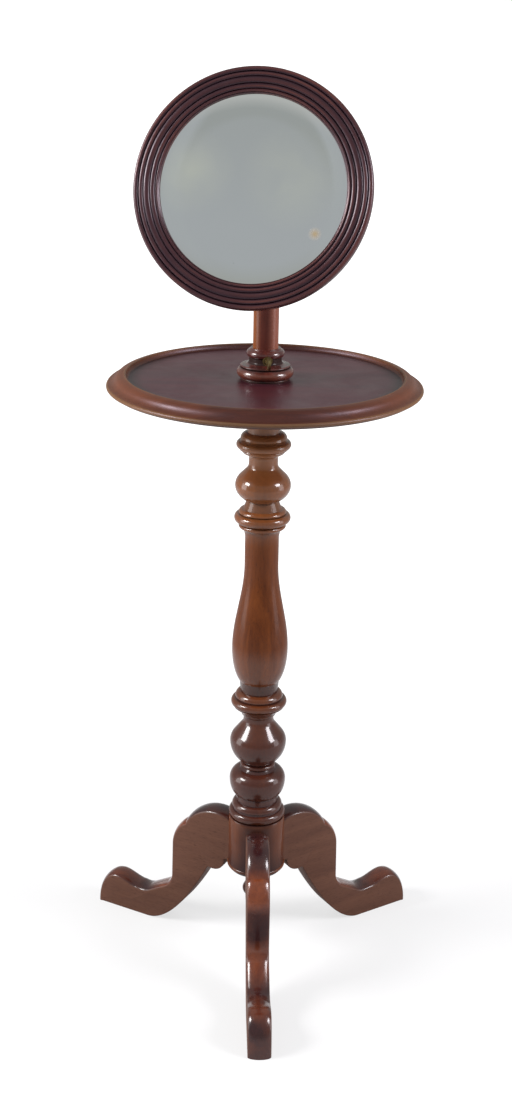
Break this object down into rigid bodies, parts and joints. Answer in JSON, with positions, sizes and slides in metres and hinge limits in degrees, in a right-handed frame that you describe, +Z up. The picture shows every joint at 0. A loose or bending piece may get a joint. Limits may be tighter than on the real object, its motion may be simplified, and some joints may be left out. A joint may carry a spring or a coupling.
{
  "type": "shaving stand",
  "caption": "Tripod shaving stand: dished round table on a turned column, with a sliding post that carries a round mirror on a swivel and tilting lap joint.",
  "frame": {"origin": "on the floor at the column's axis, at the height of the soles", "axes": "+Z up along the column; the front leg and the mirror's face point towards -Y, +X is to the viewer's right"},
  "size_m": [0.4586, 0.46, 1.2113],
  "materials": {
    "mahogany": "French-polished mahogany, semi-gloss",
    "dark_mahogany": "dark stained and polished mahogany",
    "brass": "aged brass, satin",
    "iron": "dark iron, dull",
    "leather": "dry hide, matt",
    "mirror": "silvered plate glass with a bevelled edge",
    "felt": "wool felt, matt",
    "pine": "plain pine, unpolished"
  },
  "bodies": {
    "stand": {"column": "mahogany", "leg_front": "mahogany", "leg_left": "mahogany", "leg_right": "mahogany", "drop_finial": "mahogany", "base_plate": "iron", "base_plate_screws": "iron", "top_block": "dark_mahogany", "top_block_screws": "iron", "tabletop": "mahogany", "collar": "mahogany", "collar_screws": "iron", "clamp_insert": "brass"},
    "pad": {"clamp_pad": "brass"},
    "clamp_screw": {"thumbscrew": "brass"},
    "post": {"mirror_post": "mahogany", "post_ferrule": "brass", "swivel_grub_screw": "iron"},
    "swivel": {"swivel_head": "brass", "nut_washer": "brass"},
    "mirror": {"mirror_bracket": "brass", "bracket_screws": "brass", "friction_washer": "leather", "pivot_bolt": "brass", "mirror_frame": "dark_mahogany", "mirror_glass": "mirror", "mirror_packing": "felt", "backboard": "pine", "backboard_screws": "brass"},
    "nut": {"wing_nut": "brass"}
  },
  "joints": [
    {"name": "post_slide", "type": "slide", "parent": "stand", "child": "post", "axis": [0, 0, 1], "range_m": [0, 0.09]},
    {"name": "clamp_pad_slide", "type": "slide", "parent": "stand", "child": "pad", "axis": [0.0872, -0.9962, 0], "range_m": [0, 0.002]},
    {"name": "clamp_screw_turn", "type": "hinge", "parent": "pad", "child": "clamp_screw", "pos_m": [0.00262, -0.02989, 0.8603], "axis": [0.0872, -0.9962, 0], "range_deg": [0, 720]},
    {"name": "mirror_swivel", "type": "hinge", "parent": "post", "child": "swivel", "pos_m": [0, 0, 1.027], "axis": [0, 0, 1], "range_deg": [-180, 180]},
    {"name": "mirror_tilt", "type": "hinge", "parent": "swivel", "child": "mirror", "pos_m": [0, 0, 1.054], "axis": [0.9848, -0.1736, 0], "range_deg": [-44.5, 26.5]},
    {"name": "wing_nut_turn", "type": "hinge", "parent": "mirror", "child": "nut", "pos_m": [0, 0, 1.054], "axis": [0.9848, -0.1736, 0], "range_deg": [-90, 90]}
  ],
  "couplings": [
    {"joint": "clamp_pad_slide", "follows": "clamp_screw_turn", "m_per_rad": 0.00015915}
  ]
}
